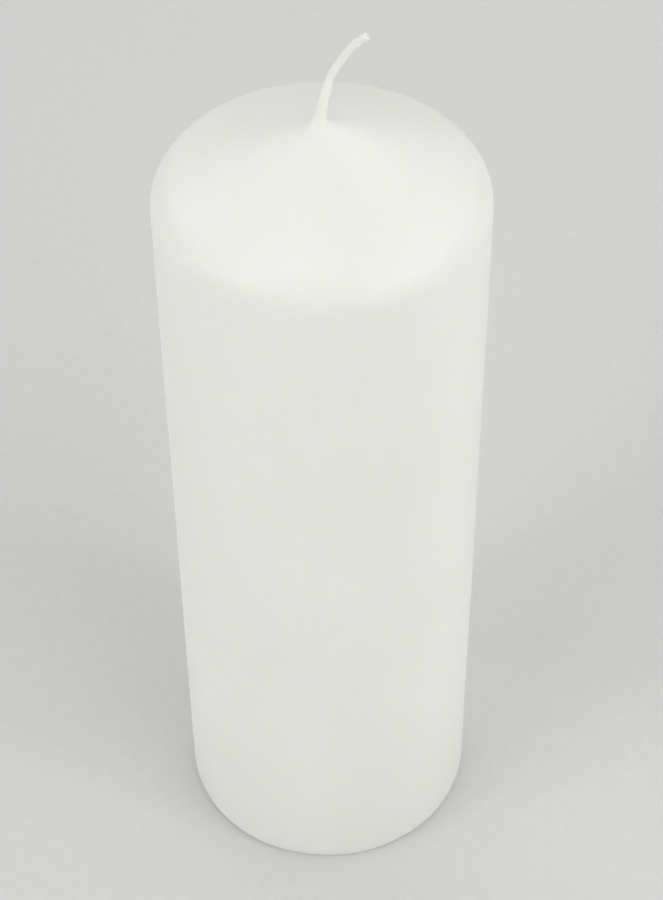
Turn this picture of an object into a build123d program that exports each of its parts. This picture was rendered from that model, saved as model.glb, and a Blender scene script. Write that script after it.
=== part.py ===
from build123d import *

import os
from math import cos, radians, sin, tan

# Pillar candle: a cast wax body with a dipped outer skin, a braided wick and a tabbed wick foot.
#
# Frame: millimetres, +Z up, origin at the centre of the base, where the candle stands.
# The wick leans towards +X. The pieces are the ones that a candle maker handles: each one
# that is poured, dipped, braided or pressed separately is its own solid.

# Outer shape of the candle
candle_diameter = 70.0
shoulder_height = 185.4  # top of the straight side
shoulder_round = 7.6
cone_slope = 23.5  # degrees above the horizontal
base_round = 1.5

# Dipped skin and the wax that it draws up the wick
skin_thickness = 2.0
collar_film = 0.2
collar_round = 5.0

# Wick: straight up the axis to the last point inside the wax, then leaning as it was set
wick_diameter = 1.6
wick_foot_height = 0.4
wick_route = [
    (0.0, 0.0, wick_foot_height),
    (0.0, 0.0, 208.4),
    (1.0, 0.1, 212.9),
    (2.0, 0.5, 216.6),
    (4.25, 0.8, 220.4),
    (6.8, 0.9, 224.1),
    (9.2, 0.7, 225.5),
]
wick_bend_radii = [14.0, 36.0, 13.0, 50.0, 5.4]

# Shrinkage well that the second pour fills, open at the base
well_mouth_radius = 21.0
well_depth = 46.0  # to the funnel's tip, before the tip is rounded
well_tip_round = 5.0

# Pressed tab that holds the foot of the wick, sunk in the base
tab_diameter = 20.0
tab_sheet = 0.3
tab_inset = wick_foot_height
tab_bead_radius = 6.5
tab_bead_height = 0.6
neck_height = 6.0
neck_root_round = 0.7
crimp_height = 3.6
crimp_bite = 0.18
crimp_jaw_radius = 0.9

# Sizes worked out from the ones above
candle_radius = candle_diameter / 2
wick_radius = wick_diameter / 2
tab_radius = tab_diameter / 2
tab_top = tab_inset + tab_sheet
neck_radius = wick_radius + tab_sheet
neck_top = tab_inset + neck_height
slope = radians(cone_slope)
shoulder_centre = (candle_radius - shoulder_round, shoulder_height)
cone_foot_radius = shoulder_centre[0] + shoulder_round * sin(slope)
cone_tip_height = shoulder_height + shoulder_round * cos(slope) + cone_foot_radius * tan(slope)


def candle_section(inset):
    """Half section of the domed cylinder that lies this far inside the candle's outer surface."""
    radius = candle_radius - inset
    tip = (0, cone_tip_height - inset / cos(slope))
    with BuildSketch(Plane.XZ) as section:
        with BuildLine():
            Line((radius, 0), (radius, shoulder_height))
            shoulder = CenterArc(shoulder_centre, shoulder_round - inset, 0, 90 - cone_slope)
            Polyline(shoulder @ 1, tip, (0, 0), (radius, 0))
        make_face()
    return section.sketch


def collar_section():
    """Half section of the wax that climbs the wick, hollow-curved from the cone to the wick."""
    film_radius = wick_radius + collar_film
    centre_radius = film_radius + collar_round
    collar_top = cone_tip_height - centre_radius * tan(slope) + collar_round / cos(slope)
    with BuildSketch(Plane.XZ) as section:
        with BuildLine():
            hollow = CenterArc((centre_radius, collar_top), collar_round, 180, 90 - cone_slope)
            Polyline(hollow @ 1, (0, (hollow @ 1).Y), (0, collar_top), hollow @ 0)
        make_face()
    return section.sketch


def well_section():
    """Half section of the shrinkage well: a funnel with a rounded tip, its mouth at the base."""
    with BuildSketch(Plane.XZ) as section:
        with BuildLine():
            Polyline((-well_mouth_radius, 0), (well_mouth_radius, 0), (0, well_depth), close=True)
        make_face()
        fillet(section.vertices().sort_by(Axis.Y)[-1], well_tip_round)
        split(bisect_by=Plane.YZ)
    return section.sketch


def bead_section(height):
    """Half disc standing on the tab's lower face, as the stiffening bead's section."""
    with BuildSketch(Plane.XZ) as section:
        with Locations((tab_bead_radius, tab_inset)):
            Circle(height)
            Rectangle(2 * height, height, align=(Align.CENTER, Align.MAX), mode=Mode.SUBTRACT)
    return section.sketch


# Wick: one braided cord from the tab to its cut end
with BuildPart() as wick:
    with BuildLine() as wick_line:
        FilletPolyline(*wick_route, radius=wick_bend_radii)
    with BuildSketch(Plane(origin=wick_line.line @ 0, z_dir=wick_line.line % 0)):
        Circle(wick_radius)
    sweep()

# Wick tab: a pressed disc with a stiffening bead and a drawn neck, crimped on the wick's foot
with BuildPart() as wick_tab:
    with BuildSketch(Plane.XZ):
        with BuildLine():
            disc = Polyline(
                (wick_radius, tab_inset),
                (tab_radius, tab_inset),
                (tab_radius, tab_top),
                (neck_radius, tab_top),
            )
            Polyline(disc @ 1, (neck_radius, neck_top), (wick_radius, neck_top), disc @ 0)
        make_face()
        add(bead_section(tab_bead_height + tab_sheet))
        add(bead_section(tab_bead_height), mode=Mode.SUBTRACT)
    revolve(axis=Axis.Z)
    top_circles = wick_tab.edges().filter_by(GeomType.CIRCLE).filter_by_position(Axis.Z, tab_top, tab_top)
    fillet(top_circles.sort_by(SortBy.RADIUS)[0], neck_root_round)
    with BuildSketch(Plane.XZ):
        jaw_distance = neck_radius + crimp_jaw_radius - crimp_bite
        with Locations((jaw_distance, crimp_height), (-jaw_distance, crimp_height)):
            Circle(crimp_jaw_radius)
    extrude(amount=tab_radius, both=True, mode=Mode.SUBTRACT)

# Second pour: the wax that levels the base over the shrinkage well and beds the tab
with BuildPart() as second_pour:
    revolve(well_section(), axis=Axis.Z)
    with BuildSketch(Plane.XZ):
        Rectangle(tab_radius, tab_inset, align=Align.MIN)
        add(bead_section(tab_bead_height))
    revolve(axis=Axis.Z, mode=Mode.SUBTRACT)
    add(wick_tab.part, mode=Mode.SUBTRACT)
    Hole(wick_radius)

# Cast body: the first pour, with the well at its base and the wick up its axis
with BuildPart() as cast_body:
    revolve(candle_section(skin_thickness), axis=Axis.Z)
    revolve(well_section(), axis=Axis.Z, mode=Mode.SUBTRACT)
    Hole(wick_radius)

# Dipped skin: hard white wax all round the cast body, open at the base, with a collar on the wick
with BuildPart() as dipped_skin:
    with BuildSketch(Plane.XZ) as skin_section:
        add(candle_section(0))
        fillet(skin_section.vertices().group_by(Axis.Y)[0].sort_by(Axis.X)[-1], base_round)
        add(collar_section())
        add(candle_section(skin_thickness), mode=Mode.SUBTRACT)
    revolve(axis=Axis.Z)
    add(wick.part, mode=Mode.SUBTRACT)

pieces = {
    "cast_body": cast_body,
    "second_pour": second_pour,
    "dipped_skin": dipped_skin,
    "wick": wick,
    "wick_tab": wick_tab,
}

os.makedirs("parts", exist_ok=True)
for name, piece in pieces.items():
    piece.part.label = name
    export_step(piece.part, f"parts/{name}.step")
    print(name, "solids", len(piece.part.solids()), "volume", round(piece.part.volume, 1))
print("wick length", round(wick_line.wires()[0].length, 1))
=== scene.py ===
"""Looks of the pillar candle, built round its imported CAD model.

The skin and the wick are finished meshes that stand for their CAD solids. The skin is one closed
shell, with the faint waves of a dipped surface, an uneven foot and a collar that leans with the wick.
It goes on up the wick as a thin coat of wax and closes over the cut end. The wick is eight braided
strands, whose backs show through that coat. The cast body, the second pour and the tab keep their
CAD shape and get their materials here.

Shapes are worked out in millimetres and written to meshes in metres. +Z is up, and the wick leans
towards +X.
"""

import math
import random
from collections import namedtuple

import bpy
import numpy as np
from mathutils import Matrix, Vector, noise


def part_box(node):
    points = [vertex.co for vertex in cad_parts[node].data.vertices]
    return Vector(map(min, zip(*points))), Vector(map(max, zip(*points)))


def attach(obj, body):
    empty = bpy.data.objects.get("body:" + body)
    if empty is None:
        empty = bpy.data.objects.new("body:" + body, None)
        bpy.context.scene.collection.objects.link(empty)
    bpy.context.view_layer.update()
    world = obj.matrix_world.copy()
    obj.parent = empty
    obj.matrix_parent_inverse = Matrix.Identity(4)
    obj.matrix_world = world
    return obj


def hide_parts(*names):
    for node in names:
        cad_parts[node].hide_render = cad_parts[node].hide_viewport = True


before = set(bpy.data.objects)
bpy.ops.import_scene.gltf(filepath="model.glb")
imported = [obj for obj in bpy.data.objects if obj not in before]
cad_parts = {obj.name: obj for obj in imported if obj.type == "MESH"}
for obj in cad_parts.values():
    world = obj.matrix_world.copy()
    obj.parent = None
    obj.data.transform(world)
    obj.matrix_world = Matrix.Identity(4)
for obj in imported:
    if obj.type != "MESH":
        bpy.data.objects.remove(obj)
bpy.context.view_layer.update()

MM = 0.001
FULL_TURN = 2 * math.pi
QUARTER_TURN = math.pi / 2

# The camera, in metres and radians
camera_place = Vector((0.0, -0.3562, 0.4829))
camera_below_horizon = math.radians(46.15)
camera_turn = math.radians(-0.245)
camera_roll = math.radians(-0.47)

# The candle's radii, read from the frame
candle_radius = (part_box("dipped_skin")[1] / MM).x
cast_radius = (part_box("cast_body")[1] / MM).x
skin_thickness = candle_radius - cast_radius

# The candle's outline
shoulder_height = 185.4
shoulder_round = 7.6
cone_slope = math.radians(23.5)
base_round = 1.5
base_round_stretch = 1.6  # the foot's round is higher than it is deep
base_unevenness = 0.3
base_wobble = 2.5  # how often the foot's unevenness comes and goes round it

# The dipped surface's waves, which fade in between these heights and between these radii
wave_height = 0.07
wave_length = 34.0
wave_squeeze = 0.6  # the waves are longer up the side than round it
wave_foot_fade = (0.0, 6.0)
wave_collar_fade = (2.0, 9.0)

# The wax collar, which stands higher on the side away from the wick's lean
collar_film = 0.2
collar_round = 4.6
collar_skew = 2.5
lean_fade = (5.0, 1.2)  # the skin leans with the wick inside the second radius, not outside the first

# The skin's mesh: its columns, and the points along each stretch of a column
column_count = 224
inner_cone_points = 5
inner_shoulder_points = 8
inner_side_points = 3
foot_points = 10
side_points = 66
shoulder_points = 18
cone_points = 26
collar_points = 18
film_points = 8

# The wick: part.py's route, with one more point that keeps it straight inside the candle
wick_radius = 0.8
wick_route = [
    (0.0, 0.0, 0.4),
    (0.0, 0.0, 204.0),
    (0.0, 0.0, 208.4),
    (1.0, 0.1, 212.9),
    (2.0, 0.5, 216.6),
    (4.25, 0.8, 220.4),
    (6.8, 0.9, 224.1),
    (9.2, 0.7, 225.5),
]
route_resolution = 24

# The braid
strands_each_way = 4
braid_pitch = 5.2
braid_step = 0.15
braid_radius = 0.84
braid_seed = 7
strand_width = 0.31
strand_height = 0.22
strand_weave = 0.07
strand_sides = 8

# The cut end, where the strands end unevenly, splay a little and taper by this share
cut_unevenness = (0.05, 0.3)
splay = (0.0, 0.08)
splay_length = 0.9
taper = 0.5
taper_length = 0.25

# The cut end's swellings and pinches: (distance from the tip, reach, share of the thickness)
end_lumps = [(2.9, 0.8, 0.10), (1.8, 0.4, -0.15), (0.8, 0.5, 0.04)]

# The skin's coat of wax on the wick: its radius at the collar, on the braid and over the sealed end
film_top = 211.0
coat_start = 211.4
thin_coat_height = 216.5
root_coat = 0.97
braid_coat = 0.80
seal_coat = 0.80
seal_length = 1.2
seal_round = 0.25
seal_round_start = 0.05  # the share of its round that the sealed end leaves off, as a small flat
coat_lumps = 0.05
coat_lump_length = 0.7

# Painted shade: the wax is darker towards the candle's foot, where it is lit less. How high this reaches,
# in metres, and the wax's shade there
painted_foot_shade_reach = 0.06
painted_foot_shade = 0.92

# The floor's flat radius, and the curve that takes it up to a wall
floor_radius = 2200.0
floor_rise = 700.0
floor_rise_points = 12
floor_columns = 96
wall_top = 1600.0

# The lights, in metres
light_aim = Vector((0, 0, 0.1))
light_distance = 1.6
sky_strength = 0.17

# Sizes worked out from the ones above
shoulder_centre = (candle_radius - shoulder_round, shoulder_height)
shoulder_turn = QUARTER_TURN - cone_slope
cone_foot = shoulder_centre[0] + shoulder_round * math.sin(cone_slope)
shoulder_top = shoulder_height + shoulder_round * math.cos(cone_slope)
cone_tip = shoulder_top + cone_foot * math.tan(cone_slope)
inner_tip = cone_tip - skin_thickness / math.cos(cone_slope)
film_radius = wick_radius + collar_film
strand_middle = braid_radius - strand_height - strand_weave
azimuths = np.linspace(0, FULL_TURN, column_count, endpoint=False)


def smooth_step(low, high, value):
    """0 at low, 1 at high, and an S-curve between them. low may be above high."""
    t = min(1.0, max(0.0, (value - low) / (high - low)))
    return t * t * (3 - 2 * t)


def arc(centre, radius, start, end, count):
    """Points along an arc in the (radius, height) plane, its two ends included."""
    return [
        (centre[0] + radius * math.cos(angle), centre[1] + radius * math.sin(angle))
        for angle in np.linspace(start, end, count)
    ]


def straight(start, end, count):
    """Points along a straight line in the (radius, height) plane, without its two ends."""
    shares = np.linspace(0, 1, count + 2)[1:-1]
    return [(start[0] + (end[0] - start[0]) * t, start[1] + (end[1] - start[1]) * t) for t in shares]


# ---------------------------------------------------------------- camera

def make_camera():
    """The camera, above the candle and looking down at it."""
    data = bpy.data.cameras.new("camera")
    data.lens = 90.57
    data.sensor_width = 36
    data.clip_start = 0.01
    data.clip_end = 50
    camera = bpy.data.objects.new("camera", data)
    tilt = QUARTER_TURN - camera_below_horizon
    aim = Matrix.Rotation(camera_turn, 4, "Z") @ Matrix.Rotation(tilt, 4, "X")
    camera.matrix_world = Matrix.Translation(camera_place) @ aim @ Matrix.Rotation(camera_roll, 4, "Z")
    bpy.context.scene.collection.objects.link(camera)
    bpy.context.scene.camera = camera


# ---------------------------------------------------------------- meshes

def add_mesh(name, points, faces, material, smooth_angle=40):
    """A new object from points in millimetres. Edges sharper than smooth_angle, in degrees, stay sharp."""
    mesh = bpy.data.meshes.new(name)
    mesh.from_pydata([Vector(point) * MM for point in points], [], faces)
    mesh.shade_smooth()
    mesh.set_sharp_from_angle(angle=math.radians(smooth_angle))
    mesh.materials.append(material)
    piece = bpy.data.objects.new(name, mesh)
    bpy.context.scene.collection.objects.link(piece)
    return piece


def ring_faces(first, second, sides):
    """Faces between two rings of points, given the number of each ring's first point."""
    faces = []
    for i in range(sides):
        j = (i + 1) % sides
        faces.append((first + i, first + j, second + j, second + i))
    return faces


def tube(centres, across, ups, widths, heights, sides):
    """Points and faces of a closed tube of oval section. across and ups are its section's axes."""
    angles = np.linspace(0, FULL_TURN, sides, endpoint=False)
    points = []
    for centre, a, u, w, h in zip(centres, across, ups, widths, heights):
        points.extend(centre + a * (w * math.cos(t)) + u * (h * math.sin(t)) for t in angles)
    first_pole = len(points)
    last_pole = first_pole + 1
    last_ring = first_pole - sides
    faces = []
    for ring in range(0, last_ring, sides):
        faces += ring_faces(ring, ring + sides, sides)
    for i in range(sides):
        j = (i + 1) % sides
        faces.append((first_pole, j, i))
        faces.append((last_pole, last_ring + i, last_ring + j))
    return points + [centres[0], centres[-1]], faces


# ---------------------------------------------------------------- the wick's centre line

# Distances along the wick, and at each of them its centre, its direction and its section's two axes
WickLine = namedtuple("WickLine", "distances centres tangents sides ups")


def spline_points(route):
    """Points read from the NURBS spline that has this route as its control points."""
    curve = bpy.data.curves.new("route", "CURVE")
    curve.dimensions = "3D"
    spline = curve.splines.new("NURBS")
    spline.points.add(len(route) - 1)
    for point, place in zip(spline.points, route):
        point.co = (*place, 1)
    spline.order_u = 3
    spline.use_endpoint_u = True
    spline.resolution_u = route_resolution
    holder = bpy.data.objects.new("route", curve)
    mesh = bpy.data.meshes.new_from_object(holder)
    points = np.array([vertex.co for vertex in mesh.vertices])
    bpy.data.objects.remove(holder)
    bpy.data.meshes.remove(mesh)
    return points


def even_steps(points, step):
    """Distances along a line of points, about this far apart, and the line's points there."""
    lengths = np.linalg.norm(np.diff(points, axis=0), axis=1)
    along = np.concatenate([[0], np.cumsum(lengths)])
    distances = np.linspace(0, along[-1], round(along[-1] / step) + 1)
    places = np.stack([np.interp(distances, along, points[:, axis]) for axis in range(3)], axis=1)
    return distances, places


def make_wick_line():
    """The wick's centre line at even steps. Its section's axes turn as little as they can."""
    distances, centres = even_steps(spline_points(wick_route), braid_step)
    tangents = np.gradient(centres, axis=0)
    tangents /= np.linalg.norm(tangents, axis=1)[:, None]
    side = Vector((1, 0, 0))
    sides = []
    for tangent in map(Vector, tangents):
        side = (side - tangent * side.dot(tangent)).normalized()
        sides.append(side)
    sides = np.array(sides)
    return WickLine(distances, centres, tangents, sides, np.cross(tangents, sides))


def wick_lean(wick, height):
    """How far the wick's centre is from the candle's axis at this height."""
    x = np.interp(height, wick.centres[:, 2], wick.centres[:, 0])
    y = np.interp(height, wick.centres[:, 2], wick.centres[:, 1])
    return Vector((x, y))


def wick_thickness(from_end):
    """The braid's thickness at this distance from its cut end, as a share of the whole."""
    lumps = (share * math.exp(-(((from_end - place) / reach) ** 2)) for place, reach, share in end_lumps)
    return 1 + sum(lumps)


# ---------------------------------------------------------------- skin

def inner_outline():
    """Half section of the skin's inside, from just below its inner tip down to its foot."""
    inner_round = shoulder_round - skin_thickness
    shoulder = arc(shoulder_centre, inner_round, shoulder_turn, 0, inner_shoulder_points)
    foot = (cast_radius, 0.0)
    cone = straight((0.0, inner_tip), shoulder[0], inner_cone_points)
    side = straight(shoulder[-1], foot, inner_side_points)
    return cone + shoulder + side + [foot]


def foot_outline(azimuth):
    """The round of the skin's foot at one azimuth."""
    edge = noise.noise(Vector((math.cos(azimuth), math.sin(azimuth), 0)) * base_wobble)
    foot_round = base_round + base_unevenness * edge
    quarter = arc((candle_radius - foot_round, foot_round), foot_round, -QUARTER_TURN, 0, foot_points)
    return [(radius, height * base_round_stretch) for radius, height in quarter]


def collar_outline(azimuth):
    """The hollow curve from the cone to the wick at one azimuth, and the film above it."""
    hollow = collar_round - collar_skew * math.cos(azimuth)
    centre_radius = film_radius + hollow
    top = cone_tip - centre_radius * math.tan(cone_slope) + hollow / math.cos(cone_slope)
    curve = arc((centre_radius, top), hollow, math.pi + shoulder_turn, math.pi, collar_points)
    film_end = (root_coat, film_top)
    return curve + straight(curve[-1], film_end, film_points) + [film_end]


def outer_outline(azimuth):
    """Half section of the skin's outside at one azimuth, from its foot to the top of the film."""
    foot = foot_outline(azimuth)
    shoulder = arc(shoulder_centre, shoulder_round, 0, shoulder_turn, shoulder_points)
    collar = collar_outline(azimuth)
    side = straight(foot[-1], shoulder[0], side_points)
    cone = straight(shoulder[-1], collar[0], cone_points)
    return foot + side + shoulder + cone + collar


def surface_wave(radius, height, azimuth):
    """How far the dipped surface stands proud of its true shape here."""
    place = Vector((radius * math.cos(azimuth), radius * math.sin(azimuth), height * wave_squeeze))
    fade = smooth_step(*wave_foot_fade, height) * smooth_step(*wave_collar_fade, radius)
    return wave_height * noise.noise(place / wave_length) * fade


def skin_point(wick, radius, height, azimuth, proud=0.0):
    """A point of the skin, this far proud of its outline. Near the axis it leans with the wick."""
    lean = wick_lean(wick, height) * smooth_step(*lean_fade, radius)
    reach = radius + proud
    return (lean.x + reach * math.cos(azimuth), lean.y + reach * math.sin(azimuth), height)


def skin_column(wick, azimuth):
    """The skin's points at one azimuth: down its inside, round its foot and up to the film's top."""
    inside = [skin_point(wick, radius, height, azimuth) for radius, height in inner_outline()]
    outside = [
        skin_point(wick, radius, height, azimuth, proud=surface_wave(radius, height, azimuth))
        for radius, height in outer_outline(azimuth)
    ]
    return inside + outside


def coat_radius(height, from_end):
    """Radius of the wax on the wick at this height and this distance from the cut end."""
    coat = np.interp(height, (film_top, thin_coat_height), (root_coat, braid_coat))
    sealed = np.interp(from_end, (seal_length, 2 * seal_length), (1, 0))
    coat += (seal_coat - coat) * sealed
    share = min(1, max(seal_round_start, from_end / seal_round))
    rounded = math.sqrt(1 - (1 - share) ** 2)
    return coat * rounded * wick_thickness(from_end)


def coat_ring(centre, side, up, radius):
    """One ring of the wax on the wick, faintly lumpy."""
    ring = []
    for azimuth in azimuths:
        outward = (side * math.cos(azimuth) + up * math.sin(azimuth)) * radius
        lump = coat_lumps * noise.noise(Vector(centre + outward) / coat_lump_length)
        ring.append(centre + outward * (1 + lump))
    return ring


def coat_rings(wick):
    """The rings of the wax on the wick, from the collar to the cut end."""
    total = wick.distances[-1]
    rings = []
    for distance, centre, _, side, up in zip(*wick):
        height = centre[2]
        if height >= coat_start:
            rings.append(coat_ring(centre, side, up, coat_radius(height, total - distance)))
    return rings


def shell_faces(columns, count):
    """Faces of a closed shell of columns with count points each, whose two poles come after them."""
    inner_pole = columns * count
    outer_pole = inner_pole + 1
    faces = []
    for i in range(columns):
        left = i * count
        right = (i + 1) % columns * count
        faces.append((inner_pole, right, left))
        faces.append((outer_pole, left + count - 1, right + count - 1))
        faces += [(left + k, right + k, right + k + 1, left + k + 1) for k in range(count - 1)]
    return faces


def make_skin(wick, material):
    """The dipped skin: a closed shell round the cast body, which goes on up the wick as a thin coat."""
    rings = coat_rings(wick)
    points = []
    for number, azimuth in enumerate(azimuths):
        points += skin_column(wick, azimuth)
        points += [ring[number] for ring in rings]
    faces = shell_faces(column_count, len(points) // column_count)
    points += [(0.0, 0.0, inner_tip), wick.centres[-1]]
    skin = add_mesh("skin", points, faces, material)
    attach(skin, "root")
    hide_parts("dipped_skin")


# ---------------------------------------------------------------- wick

def make_strand(wick, way, start, cut, looseness):
    """Points and faces of one strand, which winds one way from the angle start and ends at cut."""
    total = wick.distances[-1]
    centres, across, outwards, widths, heights = [], [], [], [], []
    for distance, centre, tangent, side, up in zip(*wick):
        if distance > cut:
            break
        turn = FULL_TURN * distance / braid_pitch
        angle = start + way * turn
        over = way * math.cos(strands_each_way * turn)
        thick = wick_thickness(total - distance)
        loose = looseness * smooth_step(total - splay_length, total, distance)
        radius = (strand_middle + strand_weave * over) * thick + loose
        outward = side * math.cos(angle) + up * math.sin(angle)
        centres.append(centre + outward * radius)
        across.append(np.cross(tangent, outward))
        outwards.append(outward)
        end = 1 - taper * smooth_step(cut - taper_length, cut, distance)
        widths.append(strand_width * thick * end)
        heights.append(strand_height * thick * end)
    return tube(centres, across, outwards, widths, heights, strand_sides)


def make_strands(wick, material):
    """The wick's braided strands, half of them winding each way and passing over and under."""
    chance = random.Random(braid_seed)
    points, faces = [], []
    for way in (1, -1):
        for number in range(strands_each_way):
            start = FULL_TURN * number / strands_each_way
            cut = wick.distances[-1] - chance.uniform(*cut_unevenness)
            looseness = chance.uniform(*splay)
            strand_points, strand_faces = make_strand(wick, way, start, cut, looseness)
            first = len(points)
            points += strand_points
            faces += [tuple(first + corner for corner in face) for face in strand_faces]
    strands = add_mesh("wick_strands", points, faces, material, smooth_angle=70)
    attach(strands, "root")
    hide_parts("wick")


# ---------------------------------------------------------------- materials

class Nodes:
    """A new material, with short calls to add its nodes."""

    MIX_COLOURS = (6, 7)  # the Mix node's two colour inputs
    MIX_RESULT = 2  # and its colour output

    def __init__(self, name, **sockets):
        self.material = bpy.data.materials.new(name)
        self.material.use_nodes = True
        self.tree = self.material.node_tree
        self.shader = self.tree.nodes["Principled BSDF"]
        self.coordinates = self.tree.nodes.new("ShaderNodeTexCoord").outputs["Object"]
        for socket, value in sockets.items():
            self.shader.inputs[socket.replace("_", " ")].default_value = value

    def noise(self, scale, detail=2.0, stretch=(1, 1, 1)):
        """Noise in the row frame. scale counts features per metre."""
        mapping = self.tree.nodes.new("ShaderNodeMapping")
        mapping.inputs["Scale"].default_value = stretch
        self.tree.links.new(self.coordinates, mapping.inputs["Vector"])
        texture = self.tree.nodes.new("ShaderNodeTexNoise")
        texture.inputs["Scale"].default_value = scale
        texture.inputs["Detail"].default_value = detail
        self.tree.links.new(mapping.outputs["Vector"], texture.inputs["Vector"])
        return texture.outputs["Fac"]

    def spread(self, value, source, target=(0, 1)):
        """value, taken from the range source to the range target."""
        node = self.tree.nodes.new("ShaderNodeMapRange")
        for name, number in zip(("From Min", "From Max", "To Min", "To Max"), (*source, *target)):
            node.inputs[name].default_value = number
        self.tree.links.new(value, node.inputs["Value"])
        return node.outputs["Result"]

    def near_foot(self, reach):
        """1 at the candle's foot, falling to 0 at this height in metres, faster near the foot."""
        split = self.tree.nodes.new("ShaderNodeSeparateXYZ")
        self.tree.links.new(self.coordinates, split.inputs["Vector"])
        share = self.spread(split.outputs["Z"], source=(0, reach), target=(1, 0))
        square = self.tree.nodes.new("ShaderNodeMath")
        square.operation = "POWER"
        square.inputs[1].default_value = 2
        self.tree.links.new(share, square.inputs[0])
        return square.outputs["Value"]

    def mix(self, share, first, second):
        """A colour between first and second; each is a colour or a node's output."""
        node = self.tree.nodes.new("ShaderNodeMix")
        node.data_type = "RGBA"
        self.tree.links.new(share, node.inputs["Factor"])
        for number, colour in zip(self.MIX_COLOURS, (first, second)):
            if isinstance(colour, tuple):
                node.inputs[number].default_value = (*colour, 1)
            else:
                self.tree.links.new(colour, node.inputs[number])
        return node.outputs[self.MIX_RESULT]

    def bump(self, *layers):
        """Relief from layers of (height output, depth in millimetres)."""
        normal = None
        for height, depth in layers:
            node = self.tree.nodes.new("ShaderNodeBump")
            node.inputs["Distance"].default_value = depth * MM
            self.tree.links.new(height, node.inputs["Height"])
            if normal is not None:
                self.tree.links.new(normal, node.inputs["Normal"])
            normal = node.outputs["Normal"]
        self.tree.links.new(normal, self.shader.inputs["Normal"])

    def finish(self, **outputs):
        """Links outputs to the shader's sockets and returns the material."""
        for socket, output in outputs.items():
            self.tree.links.new(output, self.shader.inputs[socket.replace("_", " ")])
        return self.material


def wax(name, pale, deep, roughness, relief, ripple, depth):
    """Candle wax, faintly clouded, grained and rippled, with painted shade that darkens it towards the
    foot.

    It is translucent to a depth in metres. relief and ripple are depths in millimetres.
    """
    nodes = Nodes(
        name,
        IOR=1.43,
        Subsurface_Weight=1.0,
        Subsurface_Scale=depth,
        Subsurface_Radius=(1.0, 0.9, 0.75),
    )
    clouds = nodes.noise(42, detail=4, stretch=(1, 1, 0.6))
    grain = nodes.noise(900, detail=3)
    fine = nodes.noise(3200)
    ripples = nodes.noise(150, detail=3)
    clouded = nodes.mix(nodes.spread(clouds, source=(0.3, 0.7)), pale, deep)
    grained = nodes.mix(nodes.spread(grain, source=(0.56, 0.72), target=(0, 0.25)), clouded, deep)
    # Painted shade: the wax's colour is darkened towards the foot, where less light reaches the candle
    grey = tuple(painted_foot_shade * channel for channel in pale)
    colour = nodes.mix(nodes.near_foot(painted_foot_shade_reach), grained, grey)
    nodes.bump((grain, relief), (fine, relief / 4), (ripples, ripple))
    gloss = nodes.spread(grain, source=(0.3, 0.7), target=(roughness - 0.05, roughness + 0.05))
    return nodes.finish(Base_Color=colour, Roughness=gloss)


def skin_wax():
    """Hard white dipping wax, the smoothest of the three."""
    pale, deep = (0.89, 0.89, 0.855), (0.86, 0.86, 0.815)
    return wax("skin_wax", pale, deep, roughness=0.45, relief=0.012, ripple=0.02, depth=0.0004)


def cast_wax():
    """White wax as it came out of the mold."""
    pale, deep = (0.86, 0.85, 0.80), (0.80, 0.79, 0.73)
    return wax("cast_wax", pale, deep, roughness=0.55, relief=0.04, ripple=0.1, depth=0.001)


def pour_wax():
    """White wax that was levelled by hand, so it is the most rippled."""
    pale, deep = (0.84, 0.83, 0.78), (0.77, 0.76, 0.70)
    return wax("pour_wax", pale, deep, roughness=0.5, relief=0.06, ripple=0.4, depth=0.001)


def wick_cotton():
    """Bleached cotton yarn with a little wax in it: fine fibres along each strand."""
    nodes = Nodes("wick_cotton", IOR=1.45, Sheen_Weight=0.1, Sheen_Roughness=0.5)
    fibres = nodes.noise(9000, detail=3, stretch=(1, 1, 0.22))
    blotches = nodes.noise(700)
    pale, deep = (0.94, 0.94, 0.90), (0.89, 0.88, 0.83)
    colour = nodes.mix(nodes.spread(fibres, source=(0.35, 0.65)), pale, deep)
    gloss = nodes.spread(blotches, source=(0.35, 0.65), target=(0.55, 0.8))
    nodes.bump((fibres, 0.008))
    return nodes.finish(Base_Color=colour, Roughness=gloss)


def tab_steel():
    """Thin tinned steel: bright, with the drawing marks and dull spots of a pressed part."""
    nodes = Nodes("tab_steel", Metallic=1.0)
    drawn = nodes.noise(2600, detail=4, stretch=(1, 0.08, 1))
    spots = nodes.noise(420, detail=3)
    bright, dull = (0.72, 0.72, 0.73), (0.52, 0.52, 0.54)
    colour = nodes.mix(nodes.spread(spots, source=(0.4, 0.65)), bright, dull)
    gloss = nodes.spread(drawn, source=(0.3, 0.7), target=(0.24, 0.42))
    nodes.bump((drawn, 0.006))
    return nodes.finish(Base_Color=colour, Roughness=gloss)


def floor_grey():
    """The pale grey sheet that the candle stands on."""
    nodes = Nodes("floor_grey", Roughness=0.9, Specular_IOR_Level=0.2)
    tooth = nodes.noise(350, detail=3)
    pale, deep = (0.689, 0.694, 0.682), (0.668, 0.673, 0.661)
    return nodes.finish(Base_Color=nodes.mix(nodes.spread(tooth, source=(0.3, 0.7)), pale, deep))


# ---------------------------------------------------------------- studio

def make_floor(material):
    """A pale floor that curves up far from the candle, so that no edge of it shows."""
    outline = arc((floor_radius, floor_rise), floor_rise, -QUARTER_TURN, 0, floor_rise_points)
    outline.append((floor_radius + floor_rise, wall_top))
    points = [(0.0, 0.0, 0.0)]
    for radius, height in outline:
        for angle in np.linspace(0, FULL_TURN, floor_columns, endpoint=False):
            points.append((radius * math.cos(angle), radius * math.sin(angle), height))
    faces = [(0, 1 + i, 1 + (i + 1) % floor_columns) for i in range(floor_columns)]
    for ring in range(1, len(points) - floor_columns, floor_columns):
        faces += ring_faces(ring + floor_columns, ring, floor_columns)
    add_mesh("floor", points, faces, material)


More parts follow.
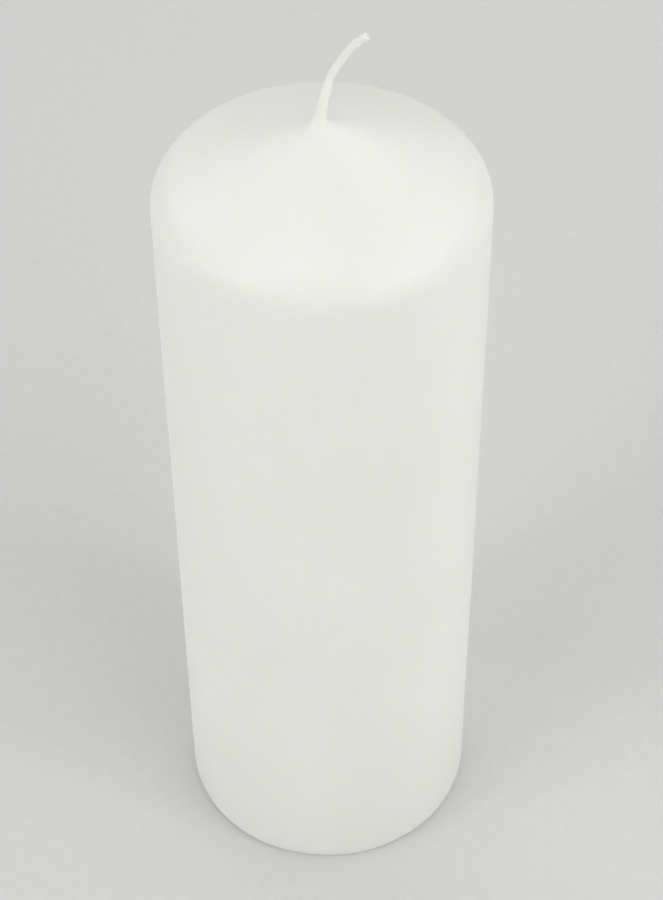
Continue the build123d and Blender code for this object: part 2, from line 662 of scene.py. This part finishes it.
def make_softbox(name, azimuth, elevation, power, size=1.0):
    """A square soft light aimed at the candle. Azimuth 0 is in front of it, and 90 is at +X."""
    turn = math.radians(azimuth)
    tilt = math.radians(elevation)
    away = Vector((math.sin(turn) * math.cos(tilt), -math.cos(turn) * math.cos(tilt), math.sin(tilt)))
    data = bpy.data.lights.new(name, "AREA")
    data.size = size
    data.energy = power
    light = bpy.data.objects.new(name, data)
    light.location = light_aim + away * light_distance
    light.rotation_euler = (-away).to_track_quat("-Z", "Y").to_euler()
    bpy.context.scene.collection.objects.link(light)


def make_lights():
    """Soft lights all round the candle, so that every side of it is lit."""
    make_softbox("front_right", azimuth=45, elevation=45, power=4.5)
    make_softbox("right", azimuth=90, elevation=40, power=3.9)
    make_softbox("back_right", azimuth=135, elevation=45, power=2.8)
    make_softbox("back", azimuth=180, elevation=50, power=4.3)
    make_softbox("back_left", azimuth=-135, elevation=45, power=3.5)
    make_softbox("low_left", azimuth=-75, elevation=20, power=5.7)
    make_softbox("low_right", azimuth=30, elevation=15, power=4.1)
    make_softbox("small_front_left", azimuth=-40, elevation=40, power=3.0, size=0.5)
    make_softbox("small_left", azimuth=-60, elevation=30, power=3.7, size=0.5)
    make_softbox("small_right", azimuth=60, elevation=30, power=3.8, size=0.5)


def make_sky():
    """A dim white sky, shown without any tone curve."""
    world = bpy.data.worlds.new("sky")
    world.use_nodes = True
    background = world.node_tree.nodes["Background"]
    background.inputs["Color"].default_value = (1, 1, 1, 1)
    background.inputs["Strength"].default_value = sky_strength
    bpy.context.scene.world = world
    bpy.context.scene.view_settings.view_transform = "Standard"


# ---------------------------------------------------------------- the scene

def give(node, material):
    """A CAD node that stays gets this material."""
    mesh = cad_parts[node].data
    mesh.materials.clear()
    mesh.materials.append(material)


make_camera()
wick_line = make_wick_line()
make_skin(wick_line, skin_wax())
make_strands(wick_line, wick_cotton())
give("cast_body", cast_wax())
give("second_pour", pour_wax())
give("wick_tab", tab_steel())
make_floor(floor_grey())
make_lights()
make_sky()
